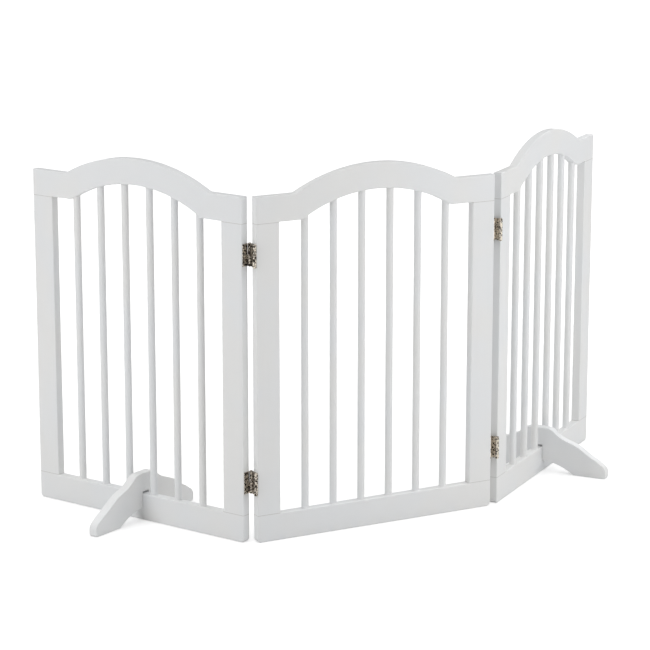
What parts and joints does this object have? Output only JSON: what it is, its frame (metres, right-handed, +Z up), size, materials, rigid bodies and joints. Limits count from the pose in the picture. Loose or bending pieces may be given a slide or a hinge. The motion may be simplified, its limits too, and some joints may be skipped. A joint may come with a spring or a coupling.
{
  "type": "folding pet gate",
  "caption": "Free-standing white folding pet gate: arched panels of round bars, joined by double-action hinges, with slotted board feet.",
  "frame": {"origin": "middle of the centre panel's underside, at mid-thickness, on the floor", "axes": "+X along the centre panel to its right, +Y to the back, towards which the outer panels fold at rest, +Z up"},
  "size_m": [1.1973, 0.4807, 0.7045],
  "materials": {
    "painted_frame": "satin white paint",
    "painted_bar": "satin white paint",
    "painted_foot": "satin white paint",
    "bare_beech": "bare, unpainted",
    "antique_brass": "antique, darkened and mottled",
    "brass_pin": "antique, rubbed brighter at the heads",
    "brass_screw": "antique, brighter than the leaves"
  },
  "bodies": {
    "centre_panel": {"centre_panel_bar_1": "painted_bar", "centre_panel_bar_2": "painted_bar", "centre_panel_bar_3": "painted_bar", "centre_panel_bar_4": "painted_bar", "centre_panel_bar_5": "painted_bar", "centre_panel_bar_6": "painted_bar", "centre_panel_bottom_rail": "painted_frame", "centre_panel_dowels": "bare_beech", "centre_panel_left_hinge_screws": "brass_screw", "centre_panel_left_stile": "painted_frame", "centre_panel_right_hinge_screws": "brass_screw", "centre_panel_right_stile": "painted_frame", "centre_panel_top_rail": "painted_frame", "left_lower_hinge_centre_leaf": "antique_brass", "left_upper_hinge_centre_leaf": "antique_brass", "right_lower_hinge_centre_leaf": "antique_brass", "right_upper_hinge_centre_leaf": "antique_brass"},
    "left_link": {"left_lower_hinge_back_pin": "brass_pin", "left_lower_hinge_front_pin": "brass_pin", "left_lower_hinge_link": "antique_brass", "left_upper_hinge_back_pin": "brass_pin", "left_upper_hinge_front_pin": "brass_pin", "left_upper_hinge_link": "antique_brass"},
    "left_panel": {"left_lower_hinge_outer_leaf": "antique_brass", "left_panel_bar_1": "painted_bar", "left_panel_bar_2": "painted_bar", "left_panel_bar_3": "painted_bar", "left_panel_bar_4": "painted_bar", "left_panel_bar_5": "painted_bar", "left_panel_bar_6": "painted_bar", "left_panel_bottom_rail": "painted_frame", "left_panel_dowels": "bare_beech", "left_panel_hinge_screws": "brass_screw", "left_panel_left_stile": "painted_frame", "left_panel_right_stile": "painted_frame", "left_panel_top_rail": "painted_frame", "left_upper_hinge_outer_leaf": "antique_brass"},
    "left_foot": {"left_foot": "painted_foot"},
    "right_link": {"right_lower_hinge_back_pin": "brass_pin", "right_lower_hinge_front_pin": "brass_pin", "right_lower_hinge_link": "antique_brass", "right_upper_hinge_back_pin": "brass_pin", "right_upper_hinge_front_pin": "brass_pin", "right_upper_hinge_link": "antique_brass"},
    "right_panel": {"right_lower_hinge_outer_leaf": "antique_brass", "right_panel_bar_1": "painted_bar", "right_panel_bar_2": "painted_bar", "right_panel_bar_3": "painted_bar", "right_panel_bar_4": "painted_bar", "right_panel_bar_5": "painted_bar", "right_panel_bar_6": "painted_bar", "right_panel_bottom_rail": "painted_frame", "right_panel_dowels": "bare_beech", "right_panel_hinge_screws": "brass_screw", "right_panel_left_stile": "painted_frame", "right_panel_right_stile": "painted_frame", "right_panel_top_rail": "painted_frame", "right_upper_hinge_outer_leaf": "antique_brass"},
    "right_foot": {"right_foot": "painted_foot"}
  },
  "joints": [
    {"name": "left_front_pin", "type": "hinge", "parent": "centre_panel", "child": "left_link", "pos_m": [-0.258, -0.01, 0], "axis": [0, 0, -1], "range_deg": [-145, 0]},
    {"name": "left_back_pin", "type": "hinge", "parent": "left_link", "child": "left_panel", "pos_m": [-0.258, 0.01, 0], "axis": [0, 0, -1], "range_deg": [-63.5, 81.5]},
    {"name": "right_back_pin", "type": "hinge", "parent": "centre_panel", "child": "right_link", "pos_m": [0.258, 0.01, 0], "axis": [0, 0, -1], "range_deg": [-108.5, 36.5]},
    {"name": "right_front_pin", "type": "hinge", "parent": "right_link", "child": "right_panel", "pos_m": [0.2699, -0.00608, 0], "axis": [0, 0, -1], "range_deg": [0, 145]},
    {"name": "left_foot_lift", "type": "slide", "parent": "left_panel", "child": "left_foot", "axis": [0, 0, 1], "range_m": [0, 0.04]},
    {"name": "right_foot_lift", "type": "slide", "parent": "right_panel", "child": "right_foot", "axis": [0, 0, 1], "range_m": [0, 0.04]}
  ]
}
